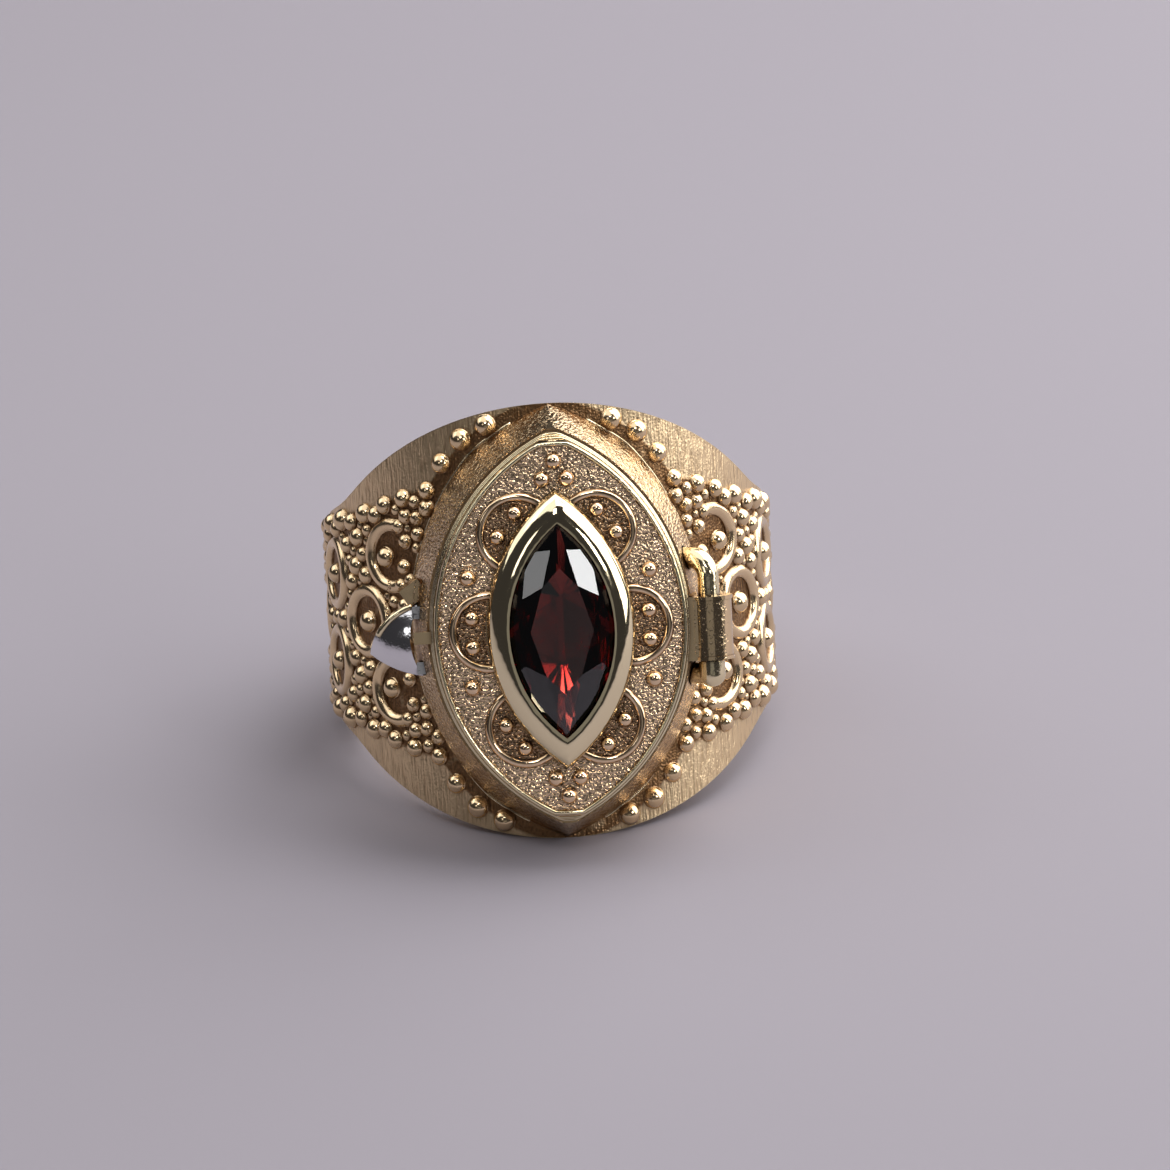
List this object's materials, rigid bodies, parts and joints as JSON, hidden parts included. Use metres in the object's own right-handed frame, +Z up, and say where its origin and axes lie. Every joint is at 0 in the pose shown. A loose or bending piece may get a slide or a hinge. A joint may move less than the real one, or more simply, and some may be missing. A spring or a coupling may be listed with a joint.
{
  "type": "flip ring",
  "caption": "Wide granulated gold ring whose marquise lid, set with a marquise garnet, opens on a side hinge over a small locket box.",
  "frame": {"origin": "on the floor under the middle of the ring's length and width, as the ring lies by itself on the lower tip of its wide front and the lower edge of its back", "axes": "+X to the hinge side, -Y where the lid faces, +Z up; the finger hole's axis leans back towards +Y by about 19.5 degrees"},
  "size_m": [0.0208, 0.0262, 0.0185],
  "materials": {
    "gold_band": "fine brushed yellow gold with polished granules, browned in the hollows",
    "gold_lid": "finely stippled rose gold plate with polished edge, bezel and wires",
    "garnet": "polished facets, dark red",
    "gold_wire": "polished yellow gold",
    "white_gold": "polished white gold"
  },
  "bodies": {
    "ring": {"band": "gold_band", "hinge_staple": "gold_wire", "catch": "white_gold"},
    "lid": {"lid": "gold_lid", "stone": "garnet"}
  },
  "joints": [
    {"name": "lid_hinge", "type": "hinge", "parent": "ring", "child": "lid", "pos_m": [0.0067, -0.00904, 0.01011], "axis": [0, 0.333, 0.9429], "range_deg": [0, 150]}
  ]
}
